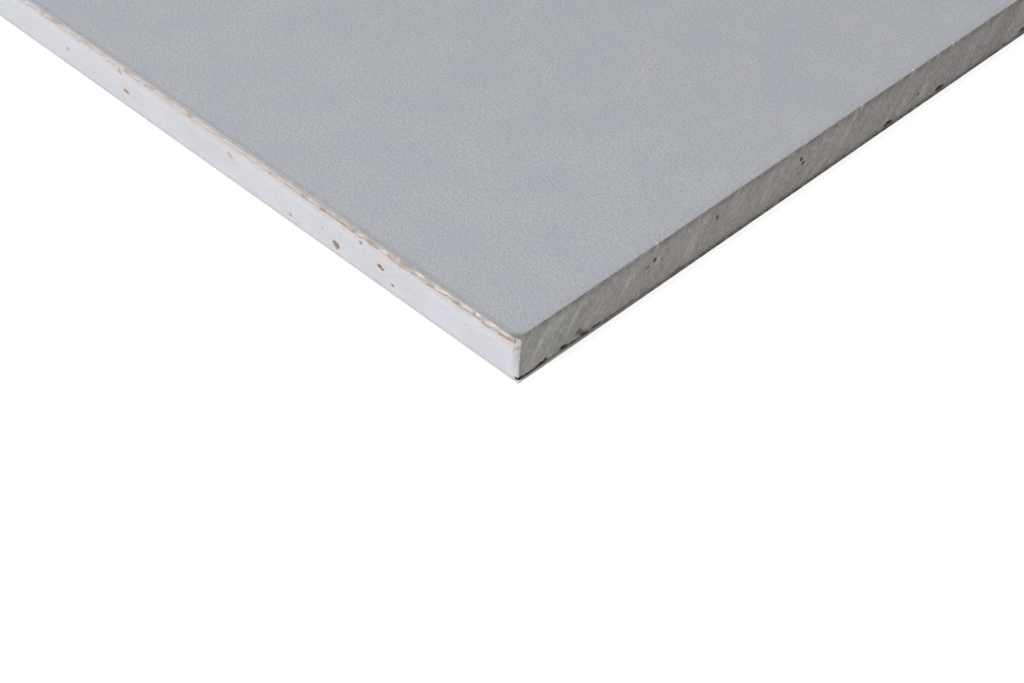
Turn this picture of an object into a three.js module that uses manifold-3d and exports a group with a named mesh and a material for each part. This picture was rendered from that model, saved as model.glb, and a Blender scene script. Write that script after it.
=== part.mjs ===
// Gypsum board: a cast gypsum core between a face paper and a back paper.
//
// Millimetres, +Z up. The sheet lies on its back: X runs along it, Y across it, and the origin is
// in the resting plane, under the middle. Two sides are cut and show the core: the knife-cut end
// at -X and the sawn long side at -Y. They meet at the near corner. The long side at +Y is the
// factory edge: tapered on the face, and bound by the face paper, which is folded round it and
// lapped under the back paper. The end at +X is a plain square cut.

import * as THREE from 'three';
import { mergeVertices } from 'three/addons/utils/BufferGeometryUtils.js';
import Module from 'manifold-3d';

const wasm = await Module();
wasm.setup();

// Sheet
const SHEET_LENGTH = 2438.4;
const SHEET_WIDTH = 1219.2;
const SHEET_THICKNESS = 12.7;
const FACE_PAPER_THICKNESS = 0.4;
const BACK_PAPER_THICKNESS = 0.4;

// Factory edge
const TAPER_WIDTH = 60;
const TAPER_DEPTH = 1.3;
const BOUND_EDGE_RADIUS = 2.2;
const PAPER_LAP = 28; // face paper folded under the sheet
const BACK_PAPER_SETBACK = 12; // back paper stops this far short of the factory edge

// Torn edge of the face paper, along the knife-cut end from the near corner
const TORN_RUN = 192;
const TEAR_PITCH = 8.7;
const TEAR_HOLD = 1.6; // length at each pitch where the paper held to the cut
const TEAR_DEPTH = { least: 0.35, most: 0.9 };
const CRUMBLE_HEIGHT = 0.9; // core lost under each tear, down the cut face
const CRUMBLE_DEPTH = 0.45;

// Air voids that the knife cut opened: along from the near corner, up as a share of the core's
// height, then how wide, tall and deep each one is, and how far it leans
const END_VOIDS = [
  { along: 38.3, up: 0.2, wide: 1.3, tall: 1.2, deep: 0.5, lean: 0 },
  { along: 42.2, up: 0.44, wide: 2.2, tall: 1.6, deep: 1.3, lean: 35 },
  { along: 48.0, up: 0.72, wide: 1.0, tall: 1.3, deep: 0.8, lean: 20 },
  { along: 56.6, up: 0.23, wide: 2.1, tall: 3.2, deep: 1.7, lean: 25 },
  { along: 93.3, up: 0.63, wide: 2.6, tall: 2.2, deep: 0.35, lean: 0 },
  { along: 129.7, up: 0.34, wide: 1.2, tall: 1.1, deep: 0.7, lean: 0 },
  { along: 133.2, up: 0.37, wide: 1.7, tall: 2.4, deep: 1.2, lean: 20 },
];

// Air voids that the saw opened on the long side
const SIDE_VOIDS = [
  { along: 40.5, up: 0.67, wide: 1.7, tall: 2.2, deep: 1.2, lean: -20 },
  { along: 60.5, up: 0.7, wide: 1.5, tall: 1.7, deep: 1.0, lean: -15 },
  { along: 88.4, up: 0.65, wide: 1.5, tall: 2.3, deep: 1.1, lean: -20 },
  { along: 87.4, up: 0.4, wide: 1.2, tall: 1.3, deep: 0.7, lean: 0 },
  { along: 131.0, up: 0.28, wide: 1.5, tall: 1.5, deep: 1.0, lean: 0 },
];

// Chips that the saw broke out of the core's lower corner, where it meets the back paper
const SAW_CHIPS = [
  { along: 3.5, wide: 10.5, tall: 0.55, deep: 1.6 },
  { along: 8.4, wide: 2.2, tall: 1.2, deep: 1.2 },
  { along: 13.8, wide: 4.6, tall: 0.9, deep: 1.5 },
  { along: 18.3, wide: 3.8, tall: 2.6, deep: 1.9 },
  { along: 33.5, wide: 1.8, tall: 0.9, deep: 0.8 },
  { along: 48.2, wide: 5.0, tall: 0.5, deep: 0.7 },
  { along: 120.0, wide: 4.0, tall: 1.2, deep: 1.2 },
  { along: 139.6, wide: 3.6, tall: 0.9, deep: 1.0 },
  { along: 172.5, wide: 3.0, tall: 1.6, deep: 1.3 },
];

const ARC_STEPS = 4; // half the facets in a quarter turn
const TEAR_STEPS = 5; // facets in one tear
const BUBBLE_DETAIL = 2; // subdivisions of a void's icosahedron
const CHIP_DETAIL = 1;
const CUT_MARGIN = 1; // how far a cutter starts outside the sheet

// Where the sheet's own faces lie
const CUT_END = -SHEET_LENGTH / 2;
const SAWN_SIDE = -SHEET_WIDTH / 2;
const FACTORY_EDGE = SHEET_WIDTH / 2;
const CORE_BOTTOM = BACK_PAPER_THICKNESS;
const CORE_TOP = SHEET_THICKNESS - FACE_PAPER_THICKNESS;

const X_AXIS = new THREE.Vector3(1, 0, 0);
const Y_AXIS = new THREE.Vector3(0, 1, 0);
const Z_AXIS = new THREE.Vector3(0, 0, 1);

// ---------------------------------------------------------------- shapes

// A section drawn across the sheet (its x is Y, its y is Z), run the sheet's whole length.
function runAlongSheet(points) {
  const geometry = new THREE.ExtrudeGeometry(new THREE.Shape(points), {
    depth: SHEET_LENGTH,
    bevelEnabled: false,
  });
  geometry.applyMatrix4(new THREE.Matrix4().makeBasis(Y_AXIS, Z_AXIS, X_AXIS));
  return geometry.translate(CUT_END, 0, 0);
}

// The line of the face paper, across the face, down the taper, round the factory edge and back
// under the sheet. Inset 0 is its outer surface, and its own thickness is its inner one.
function facePaperLine(inset) {
  const edge = FACTORY_EDGE - inset;
  const radius = BOUND_EDGE_RADIUS - inset;
  const shoulder = SHEET_THICKNESS - TAPER_DEPTH - inset;
  const lap = BACK_PAPER_THICKNESS + inset;

  const line = new THREE.Path();
  line.moveTo(SAWN_SIDE, SHEET_THICKNESS - inset);
  line.lineTo(FACTORY_EDGE - TAPER_WIDTH, SHEET_THICKNESS - inset);
  line.lineTo(edge - radius, shoulder);
  line.absarc(edge - radius, shoulder - radius, radius, Math.PI / 2, 0, true);
  line.absarc(edge - radius, lap + radius, radius, 0, -Math.PI / 2, true);
  line.lineTo(FACTORY_EDGE - PAPER_LAP, lap);
  return line.getPoints(ARC_STEPS);
}

// An egg-shaped cutter that is centred on a cut face and reaches into the gypsum.
function hollow({ wide, tall, deep, lean = 0 }, detail) {
  const geometry = new THREE.IcosahedronGeometry(1, detail);
  geometry.scale(wide / 2, deep, tall / 2);
  return geometry.rotateY(THREE.MathUtils.degToRad(lean));
}

// Turned from the long side, where it is drawn, to the end.
function ontoEnd(geometry) {
  return geometry.rotateZ(-Math.PI / 2);
}

// ---------------------------------------------------------------- cutting

function toSolid(geometry) {
  geometry.deleteAttribute('normal');
  geometry.deleteAttribute('uv');
  const merged = mergeVertices(geometry);
  return new wasm.Manifold(new wasm.Mesh({
    numProp: 3,
    vertProperties: merged.getAttribute('position').array,
    triVerts: new Uint32Array(merged.getIndex().array),
  }));
}

function toGeometry(solid) {
  const mesh = solid.getMesh();
  const geometry = new THREE.BufferGeometry();
  geometry.setAttribute('position', new THREE.BufferAttribute(mesh.vertProperties, 3));
  geometry.setIndex(new THREE.BufferAttribute(mesh.triVerts, 1));
  geometry.computeVertexNormals();
  return geometry;
}

function cutAway(geometry, cutters) {
  const cut = cutters.reduce((solid, cutter) => solid.subtract(toSolid(cutter)), toSolid(geometry));
  return toGeometry(cut);
}

// ---------------------------------------------------------------- wear and damage

// The stretches where the face paper tore, as distances from the near corner.
function tears() {
  const count = Math.floor(TORN_RUN / TEAR_PITCH);
  return Array.from({ length: count }, (_, k) => ({
    from: k * TEAR_PITCH + TEAR_HOLD / 2,
    to: (k + 1) * TEAR_PITCH - TEAR_HOLD / 2,
    deep: THREE.MathUtils.lerp(
      TEAR_DEPTH.least,
      TEAR_DEPTH.most,
      THREE.MathUtils.seededRandom(k + 1),
    ),
  }));
}

// One bow-shaped bite out of the paper, in plan.
function tearOutline({ from, to, deep }) {
  const outline = new THREE.Shape();
  outline.moveTo(CUT_END - CUT_MARGIN, SAWN_SIDE + from);
  outline.lineTo(CUT_END, SAWN_SIDE + from);
  outline.quadraticCurveTo(
    CUT_END + 2 * deep, SAWN_SIDE + (from + to) / 2,
    CUT_END, SAWN_SIDE + to,
  );
  outline.lineTo(CUT_END - CUT_MARGIN, SAWN_SIDE + to);
  return outline;
}

function tornPaperCutter() {
  const geometry = new THREE.ExtrudeGeometry(tears().map(tearOutline), {
    depth: FACE_PAPER_THICKNESS + 2 * CUT_MARGIN,
    bevelEnabled: false,
    curveSegments: TEAR_STEPS,
  });
  return geometry.translate(0, 0, CORE_TOP - CUT_MARGIN);
}

// Gypsum that crumbled away under one tear.
function crumbleCutter({ from, to }) {
  const size = { wide: to - from, tall: 2 * CRUMBLE_HEIGHT, deep: CRUMBLE_DEPTH };
  const geometry = ontoEnd(hollow(size, CHIP_DETAIL));
  return geometry.translate(CUT_END, SAWN_SIDE + (from + to) / 2, CORE_TOP);
}

function heightInCore(share) {
  return THREE.MathUtils.lerp(CORE_BOTTOM, CORE_TOP, share);
}

function endVoidCutter(bubble) {
  const geometry = ontoEnd(hollow(bubble, BUBBLE_DETAIL));
  return geometry.translate(CUT_END, SAWN_SIDE + bubble.along, heightInCore(bubble.up));
}

function sideVoidCutter(bubble) {
  const geometry = hollow(bubble, BUBBLE_DETAIL);
  return geometry.translate(CUT_END + bubble.along, SAWN_SIDE, heightInCore(bubble.up));
}

function sawChipCutter(chip) {
  const geometry = hollow({ ...chip, tall: 2 * chip.tall }, CHIP_DETAIL);
  return geometry.translate(CUT_END + chip.along, SAWN_SIDE, CORE_BOTTOM);
}

// ---------------------------------------------------------------- pieces

function gypsumCore() {
  const lapEnd = FACTORY_EDGE - PAPER_LAP;
  const block = runAlongSheet([
    new THREE.Vector2(SAWN_SIDE, CORE_BOTTOM),
    new THREE.Vector2(lapEnd, CORE_BOTTOM),
    ...facePaperLine(FACE_PAPER_THICKNESS).reverse(),
  ]);
  return cutAway(block, [
    ...END_VOIDS.map(endVoidCutter),
    ...SIDE_VOIDS.map(sideVoidCutter),
    ...SAW_CHIPS.map(sawChipCutter),
    ...tears().map(crumbleCutter),
  ]);
}

function facePaper() {
  const sheet = runAlongSheet([
    ...facePaperLine(0),
    ...facePaperLine(FACE_PAPER_THICKNESS).reverse(),
  ]);
  return cutAway(sheet, [tornPaperCutter()]);
}

function backPaper() {
  const width = SHEET_WIDTH - BACK_PAPER_SETBACK;
  const geometry = new THREE.BoxGeometry(SHEET_LENGTH, width, BACK_PAPER_THICKNESS);
  return geometry.translate(0, SAWN_SIDE + width / 2, BACK_PAPER_THICKNESS / 2);
}

// ---------------------------------------------------------------- materials

function gypsumMaterial() {
  return new THREE.MeshStandardMaterial({ color: 0xd6d5d9, roughness: 0.95, metalness: 0 });
}

function facePaperMaterial() {
  return new THREE.MeshStandardMaterial({ color: 0xb0b3b9, roughness: 0.8, metalness: 0 });
}

function backPaperMaterial() {
  return new THREE.MeshStandardMaterial({ color: 0xa39b8d, roughness: 0.9, metalness: 0 });
}

// ---------------------------------------------------------------- sheet

function named(name, geometry, material) {
  const mesh = new THREE.Mesh(geometry, material);
  mesh.name = name;
  return mesh;
}

const drywallSheet = new THREE.Group();
drywallSheet.name = 'drywall_sheet';
drywallSheet.add(
  named('gypsum_core', gypsumCore(), gypsumMaterial()),
  named('face_paper', facePaper(), facePaperMaterial()),
  named('back_paper', backPaper(), backPaperMaterial()),
);

export default drywallSheet;
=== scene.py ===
"""A sheet of gypsum board on a white floor, seen at the corner where its two cut sides meet.

Everything is in metres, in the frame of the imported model: X runs along the sheet, Y across it and
Z up out of its face. Small sizes are written in millimetres and multiplied by MM.
"""

import math

import bpy
from mathutils import Matrix, Vector, noise


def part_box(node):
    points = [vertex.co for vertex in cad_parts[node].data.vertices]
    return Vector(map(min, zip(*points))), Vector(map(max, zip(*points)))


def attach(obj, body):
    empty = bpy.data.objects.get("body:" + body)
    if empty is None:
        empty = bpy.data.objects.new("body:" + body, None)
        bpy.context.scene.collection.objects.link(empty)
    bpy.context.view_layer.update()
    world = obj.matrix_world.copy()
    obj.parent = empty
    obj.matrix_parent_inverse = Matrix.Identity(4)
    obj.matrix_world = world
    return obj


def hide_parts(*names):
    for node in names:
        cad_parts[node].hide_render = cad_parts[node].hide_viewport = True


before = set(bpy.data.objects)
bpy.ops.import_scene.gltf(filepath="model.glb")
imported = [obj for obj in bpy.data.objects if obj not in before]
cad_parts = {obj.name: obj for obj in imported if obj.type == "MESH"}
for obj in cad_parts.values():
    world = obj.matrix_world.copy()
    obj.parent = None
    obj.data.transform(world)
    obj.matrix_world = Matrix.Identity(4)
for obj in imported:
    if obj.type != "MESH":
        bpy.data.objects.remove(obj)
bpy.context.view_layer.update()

MM = 0.001

# -------------------- sizes read from the frame
core_low, core_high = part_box("gypsum_core")
_, paper_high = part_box("face_paper")
_, back_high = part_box("back_paper")

CUT_END = core_low.x  # the knife-cut end, facing -X
SAWN_SIDE = core_low.y  # the sawn long side, facing -Y
FAR_END = core_high.x
CORE_BOTTOM = core_low.z
CORE_TOP = core_high.z
SHEET_TOP = paper_high.z
BACK_PAPER_TOP = back_high.z
FACE_PAPER = SHEET_TOP - CORE_TOP
FACTORY_EDGE = paper_high.y

# The factory edge, as in the CAD model
TAPER_START = FACTORY_EDGE - 60 * MM
TAPER_DEPTH = 1.3 * MM
BOUND_EDGE_RADIUS = 2.2 * MM
LAP_END = FACTORY_EDGE - 28 * MM

# Fine work round the near corner
RUN = 192 * MM  # length of each cut side that is modelled finely
BLOCK_DEPTH = 2.5 * MM  # how far into the core the fine block reaches
VOXEL = 0.27 * MM  # grid of that block
KNIFE_BACK = 0.06 * MM  # how far the cut faces lie behind the papers' edges
SAW_BACK = 0.04 * MM
FADE = 7 * MM  # relief dies out over this length at the far ends of the fine work
TINY = 0.001 * MM  # two places that are no further apart are the same
ARC_STEPS = 6  # faces round each quarter round
WEIGHT_STEPS = 200  # weights are rounded to this many steps
SMOOTH_ANGLE = math.radians(40)  # edges sharper than this stay sharp
SQUARE_ON = 0.99  # a face whose normal has this much of an axis is square to it
SAW_LEAN = 50  # degrees that the saw's strokes stand up from the edge
MOUTH = 1.3  # a bubble or chip is cut with an egg this many times as wide and tall as its mouth
CHIPS_TOP = 5 * MM  # every chip along the foot lies below this
MARK_DEPTH = 1 * MM  # colour left on a cut face reaches no deeper into its hollows
# Grain that the saw opened, as dark, pinkish, greenish and pale specks: size, strength, colour
SAWN_SPECKS = (
    (0.45 * MM, 0.5, "#a09c98"),
    (1.7 * MM, 0.4, "#c2b2b3"),
    (2.1 * MM, 0.4, "#bfc6be"),
    (0.55 * MM, 0.8, "#ffffff"),
)

# Torn and sawn edges of the face paper
STRIP = 2.4 * MM  # width of paper that is modelled finely along both cuts
SLICE = 4.8 * MM
PAPER_CELLS = 16  # in each slice
ROLL = 2.1 * MM  # width of paper that the saw pressed down
ROLL_DROP = 0.33 * MM

# Torn plies of the face paper, pressed down over the knife-cut face
FRINGE_TOP = CORE_TOP + 0.15 * MM
FRINGE_FOOT = 9.3 * MM  # lowest that any of them hangs, before it is made ragged
FRINGE_START = 0.95 * MM
FRINGE_CELLS = (720, 20)  # along and up
FRINGE_BACK = 0.6 * MM  # how deep they are rooted in the gypsum
FEET_RANGE = 2 * MM  # no foot is lifted further

# Crumbs on the pressed-down edge of the face paper
CRUMB_DEEP = 0.5 * MM
CRUMB_TALL = 1.0 * MM
CRUMB_IN = 0.27 * MM  # from the sawn side
CRUMB_DOWN = 0.6 * MM  # from the top of the sheet

# -------------------- scene helpers
def adjusted(thing, **settings):
    for name, value in settings.items():
        setattr(thing, name, value)
    return thing


def linked(name, data):
    """A new object that carries this data, linked into the scene."""
    made = bpy.data.objects.new(name, data)
    bpy.context.scene.collection.objects.link(made)
    return made


# -------------------- camera
CAMERA_FROM_CORNER = Vector((-200.5, -214.4, 288.4)) * MM
LINE_OF_SIGHT = math.radians(47.10)  # turned from the sheet's +X
LOOKING_DOWN = math.radians(43.285)
CAMERA_ROLL = math.radians(-1.58)
SENSOR_WIDTH = 36.0
LENS = 71.1


def set_camera():
    data = adjusted(bpy.data.cameras.new("camera"), sensor_width=SENSOR_WIDTH, lens=LENS,
                    clip_start=0.01, clip_end=100.0)
    camera = linked("camera", data)
    turn = Matrix.Rotation(LINE_OF_SIGHT - math.pi / 2, 4, "Z")
    tip = Matrix.Rotation(math.pi / 2 - LOOKING_DOWN, 4, "X")
    roll = Matrix.Rotation(CAMERA_ROLL, 4, "Z")
    spot = Matrix.Translation(Vector((CUT_END, SAWN_SIDE, 0)) + CAMERA_FROM_CORNER)
    camera.matrix_world = spot @ turn @ tip @ roll
    bpy.context.scene.camera = camera


# -------------------- node and colour helpers
def colour(code):
    """An sRGB hex colour as linear RGBA."""
    channels = [int(code[i : i + 2], 16) / 255 for i in (1, 3, 5)]
    linear = [c / 12.92 if c <= 0.04045 else ((c + 0.055) / 1.055) ** 2.4 for c in channels]
    return (*linear, 1.0)


def add(tree, kind, inputs=None, **settings):
    """Adds a node with its settings. Each input takes a value, a hex colour, an output, or a node,
    which gives its first output."""
    made = adjusted(tree.nodes.new("ShaderNode" + kind), **settings)
    for name, value in (inputs or {}).items():
        if isinstance(value, bpy.types.Node):
            value = value.outputs[0]
        if isinstance(value, bpy.types.NodeSocket):
            tree.links.new(value, made.inputs[name])
        else:
            made.inputs[name].default_value = colour(value) if isinstance(value, str) else value
    return made


def new_material(name):
    material = bpy.data.materials.new(name)
    material.use_nodes = True
    material.node_tree.nodes.clear()
    return material, material.node_tree


def places(tree):
    """Object coordinates, how far in from the cut end and from the sawn side, and the height."""
    place = add(tree, "TexCoord").outputs["Object"]
    axes = add(tree, "SeparateXYZ", {0: place})
    from_end = add(tree, "Math", {0: axes.outputs[0], 1: CUT_END}, operation="SUBTRACT")
    from_side = add(tree, "Math", {0: axes.outputs[1], 1: SAWN_SIDE}, operation="SUBTRACT")
    return place, from_end, from_side, axes.outputs[2]


def share(tree, *factors):
    """How much of a finish shows, as the product of its factors. A factor is a number, a node, or
    the name of a number that the vertices carry. In brackets with two levels, it goes from 0 at
    the first to 1 at the second."""
    product = None
    for factor in factors:
        value, *levels = factor if isinstance(factor, tuple) else (factor,)
        if isinstance(value, str):
            value = add(tree, "Attribute", attribute_name=value).outputs["Fac"]
        if levels:
            none, full = levels
            value = add(tree, "MapRange", {"Value": value, "From Min": none, "From Max": full})
        if product is not None:
            value = add(tree, "Math", {0: product, 1: value}, operation="MULTIPLY")
        product = value
    return product


def coats(tree, base, *layers):
    """Lays colours over a base one after another, each by its share. MULTIPLY makes one a glaze."""
    # Sockets 6 and 7 are the two colours to mix, and output 2 is what they give
    for shown, tone, *mode in layers:
        mixed = add(tree, "Mix", {"Factor": shown, 6: base, 7: tone},
                    data_type="RGBA", blend_type=mode[0] if mode else "MIX")
        base = mixed.outputs[2]
    return base


def mottle(tree, place, size, none, full, detail=2.0):
    """Spots of about this size, from noise that goes from 0 to 1 between two of its levels."""
    spots = add(tree, "TexNoise", {"Vector": place, "Scale": 1 / size, "Detail": detail})
    return share(tree, (spots, none, full))


def stretched(tree, place, size, turn=(0, 0, 0)):
    """Coordinates in which a grain of this size in each direction measures 1, after a turn."""
    turned = add(tree, "Mapping", {"Vector": place, "Rotation": turn})
    return add(tree, "Mapping", {"Vector": turned, "Scale": [1 / c for c in size]})


def matt_surface(tree, tone, roughness, specular, grain_size=None, grain_depth=None):
    """Ends a material as a matt surface, with a fine grain where its size and depth are given."""
    inputs = {"Base Color": tone, "Roughness": roughness, "Specular IOR Level": specular}
    if grain_size:
        place = add(tree, "TexCoord").outputs["Object"]
        height = add(tree, "TexNoise", {"Vector": place, "Scale": 1 / grain_size, "Detail": 3.0})
        inputs["Normal"] = add(tree, "Bump", {"Height": height, "Distance": grain_depth})
    shader = add(tree, "BsdfPrincipled", inputs)
    add(tree, "OutputMaterial", {"Surface": shader})


# -------------------- materials
def cast_gypsum():
    """Gypsum plaster cast between papers: chalk white, fine-grained and quite matt. The knife-cut
    face is clean and cool; the sawn one is striped by the strokes; bubbles have brownish skins.
    Painted shade deepens the bubbles and chips, greys the sawn side away from the corner, and
    darkens the knife-cut face beside the worn arris and below the torn plies."""
    material, tree = new_material("cast_gypsum")
    place, from_end, from_side, up = places(tree)
    sawn = share(tree, (from_side, 0.6 * MM, 0.4 * MM), (from_end, 0.8 * MM, 1.8 * MM))
    body = coats(
        tree, "#d7d8e1",
        (mottle(tree, place, 9 * MM, 0.35, 0.65), "#d1d3db"),
        (mottle(tree, place, 0.9 * MM, 0.62, 0.8), "#c8c6cc"),
        (share(tree, (from_side, 100 * MM, 180 * MM), 0.8), "#d4d7df"),
    )

    # Saw strokes, some pale and some dark, broken up by the grain. They get pinker away from the
    # corner, and greyer further on, which is painted shade for the light falling off along the side
    lean = (0, math.radians(SAW_LEAN), 0)
    long_stroke = stretched(tree, place, (14 * MM, 1 * MM, 2.2 * MM), lean)
    short_stroke = stretched(tree, place, (3.5 * MM, 1 * MM, 0.5 * MM), lean)
    pale = mottle(tree, long_stroke, 1.0, 0.45, 0.75), mottle(tree, short_stroke, 1.0, 0.3, 0.65)
    dark = mottle(tree, long_stroke, 1.7, 0.5, 0.25), mottle(tree, short_stroke, 1.3, 0.65, 0.35)
    body = coats(
        tree, body,
        (share(tree, sawn, *pale, 0.8), "#f8f8f6"),
        (share(tree, sawn, *dark, 0.75), "#b3a5a4"),
        (share(tree, sawn, 0.9), "#fffefc", "MULTIPLY"),
        (share(tree, sawn, (from_end, 12 * MM, 40 * MM)), "#fffbfb", "MULTIPLY"),
        # painted shade: greyer far from the corner, as the light falls off along the sawn side
        (share(tree, sawn, (from_end, 80 * MM, 190 * MM)), "#ebedef", "MULTIPLY"),
    )
    for size, strength, tone in SAWN_SPECKS:
        streak = stretched(tree, place, (2.5 * size, size, 0.8 * size), lean)
        speck = share(tree, sawn, mottle(tree, streak, 1.0, 0.5, 0.7), strength)
        body = coats(tree, body, (speck, tone))

    # Darker along both arrises of the sawn side, more so away from the corner
    foot = share(tree, (up, CORE_BOTTOM + 1.5 * MM, CORE_BOTTOM))
    foot = share(tree, foot, foot, (from_end, 30 * MM, 50 * MM),
                 mottle(tree, place, 2.4 * MM, 0.3, 0.6))
    far_top = (up, CORE_BOTTOM + 8 * MM, CORE_BOTTOM + 11 * MM), (from_end, 80 * MM, 100 * MM)
    top = (up, CORE_BOTTOM + 9.6 * MM, CORE_BOTTOM + 11.4 * MM), (from_end, 1 * MM, 5 * MM)
    body = coats(
        tree, body,
        (share(tree, sawn, foot), "#b4aea8"),
        (share(tree, sawn, *far_top, 0.3), "#b4a8a4"),
        (share(tree, sawn, *top, mottle(tree, place, 2.2 * MM, 0.3, 0.55), 0.8), "#aea5a3"),
    )

    # Long thin scratches of the saw's teeth, the palest scrapes and flakes, and brown smears
    scratch = stretched(tree, place, (40 * MM, 1 * MM, 0.8 * MM), lean)
    scratch = mottle(tree, scratch, 1.0, 0.52, 0.64, detail=1.0)
    body = coats(
        tree, body,
        (share(tree, sawn, scratch, mottle(tree, place, 1.4 * MM, 0.3, 0.6), 0.45), "#f8f7f7"),
        (share(tree, sawn, "scraped", mottle(tree, place, 0.6 * MM, 0.1, 0.6)), "#fdfdfc"),
        (share(tree, "smeared"), "#ffdad0", "MULTIPLY"),
    )

    # The knife-cut face has painted shade beside the worn arris, darkest at the arris itself, and
    # is chalky towards its top
    beside_worn_arris = share(tree, (from_side, 1.6 * MM, 0.5 * MM), (from_end, 1.7 * MM, 1.2 * MM))
    body = coats(
        tree, body,
        (share(tree, beside_worn_arris, 0.5), "#cfcdd4"),
        (share(tree, beside_worn_arris, (up, CORE_TOP - 2.9 * MM, CORE_TOP - 2.2 * MM), 0.85), "#f3efe9"),
        (share(tree, beside_worn_arris, (from_side, 0.9 * MM, 0.2 * MM), 0.25), "#b9b6b4"),
    )

    # Paste and fibre rubbed into the knife-cut face below the torn plies; its lower reach is
    # painted shade that evens out the brighter slope of the recess under the plies
    under_plies = share(tree, (up, CORE_TOP - 4.6 * MM, CORE_TOP - 2.1 * MM))
    under_plies = add(tree, "Math", {0: under_plies, 1: 1.5}, operation="POWER")
    rubbed_in_and_shade = share(tree, under_plies, (from_end, 0.9 * MM, 0.5 * MM),
                   (from_side, 280 * MM, 80 * MM), mottle(tree, place, 2.6 * MM, 0.2, 0.5), 0.9)
    body = coats(tree, body, (rubbed_in_and_shade, "#cdc2bf"))

    # Stains round the bubbles, then the bubbles' skins with painted shade that deepens inwards,
    # darker still in those of the sawn side, and painted shade for the slots' dark insides
    lumpy = mottle(tree, place, 0.7 * MM, 0.4, 0.6)
    end_skin = coats(tree, "#a08d84", (lumpy, "#75665e"))
    shaded_side_skin = coats(tree, "#75695f", (lumpy, "#51483f"))
    past_end = share(tree, (from_end, BLOCK_DEPTH, BLOCK_DEPTH + 0.3 * MM))
    body = coats(
        tree, body,
        (share(tree, "stain", mottle(tree, place, 1.5 * MM, 0.2, 0.6)), "#dbccc4"),
        (share(tree, "hollow_skin_and_shade", 0.92), coats(tree, end_skin, (past_end, shaded_side_skin))),
        (share(tree, "painted_slot_shade"), coats(tree, "#52453a", (lumpy, "#32291f"))),
    )
    matt_surface(tree, body, roughness=0.95, specular=0.25,
                 grain_size=0.5 * MM, grain_depth=0.06 * MM)
    return material


def loose_gypsum():
    """Crumbs of gypsum that the saw threw off: clean chalk white, powdery and matt."""
    material, tree = new_material("loose_gypsum_crumbs")
    lumpy = mottle(tree, add(tree, "TexCoord").outputs["Object"], 0.4 * MM, 0.3, 0.7)
    matt_surface(tree, coats(tree, "#fbfaf9", (lumpy, "#ebe8e7")), roughness=0.95, specular=0.25)
    return material


def liner_paper():
    """Calendered recycled liner board: blue-grey, faintly felted, matt. Its torn edge shows the
    warmer middle plies, and its sawn edge is pale below a line of painted shade where the saw
    pressed it down."""
    material, tree = new_material("grey_liner_paper")
    place, from_end, from_side, _ = places(tree)
    grey = coats(
        tree, "#a3a7af",
        (mottle(tree, place, 0.6 * MM, 0.3, 0.7, detail=3.0), "#b9bbc2"),
        (share(tree, mottle(tree, place, 14 * MM, 0.35, 0.65), 0.35), "#a4a8b5"),
        (share(tree, mottle(tree, place, 0.8 * MM, 0.68, 0.78), 0.4), "#8e929b"),
        (share(tree, "rim", mottle(tree, place, 3.0 * MM, 0.1, 0.5), 0.75), "#9b9ea7"),
        # painted shade where the saw rolled the edge down
        (share(tree, "rolled_edge_shade", 0.35), "#84858a"),
    )

    # The torn edge, cooler where the middle plies no longer show, then wear at the very corner
    # and the sawn edge
    fibre = mottle(tree, place, 0.5 * MM, 0.35, 0.65)
    plies = coats(
        tree, "#9fa1a6",
        (share(tree, "torn"), coats(tree, "#b8b3b2", (fibre, "#a39c99"))),
        (share(tree, (from_side, 44 * MM, 60 * MM)), "#c2c0c4"),
    )
    from_corner = add(tree, "Math", {0: from_side, 1: from_end}, operation="ADD")
    scuffed = share(tree, (from_corner, 3.0 * MM, 1.4 * MM),
                    mottle(tree, place, 0.8 * MM, 0.1, 0.5), 0.85)
    paper = coats(
        tree, grey,
        (share(tree, ("torn", 0.02, 0.1)), plies),
        (scuffed, "#7d7670"),
        (share(tree, "sawn"), coats(tree, "#cfcbc9", (fibre, "#dcd8d6"))),
    )
    matt_surface(tree, paper, roughness=0.85, specular=0.3,
                 grain_size=0.7 * MM, grain_depth=0.15 * MM)
    return material


def torn_ply_fibre():
    """Delaminated plies of the face paper: dull where they lie flat, cream where the middle plies
    tore open, brown where the innermost one shows or bunched up."""
    material, tree = new_material("torn_ply_fibre")
    place, _, from_side, up = places(tree)
    strand = mottle(tree, stretched(tree, place, (1 * MM, 1.5 * MM, 0.35 * MM)), 1.0, 0.35, 0.65)
    halfway = (from_side, 44 * MM, 54 * MM), (from_side, 116 * MM, 104 * MM)
    tone = coats(
        tree, "#c8c4c4",
        (share(tree, (from_side, 14 * MM, 28 * MM)), "#c0b9b7"),
        (share(tree, (from_side, 50 * MM, 88 * MM)), "#cfcbce"),
        (share(tree, (up, 11.8 * MM, 12.3 * MM)), "#b1aeb2"),
        (share(tree, *halfway, (up, 11.5 * MM, 12.1 * MM), 0.6), "#a2a0a3"),
        (share(tree, (up, 11.3 * MM, 10.2 * MM)), "#d3cbc9"),
        (share(tree, "cream"), "#ece6e1"),
        (share(tree, "kraft"), coats(tree, "#b9a195", (strand, "#99857a"))),
        (share(tree, strand, 0.3), "#9c918b"),
    )
    matt_surface(tree, tone, roughness=0.9, specular=0.3)
    return material


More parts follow.
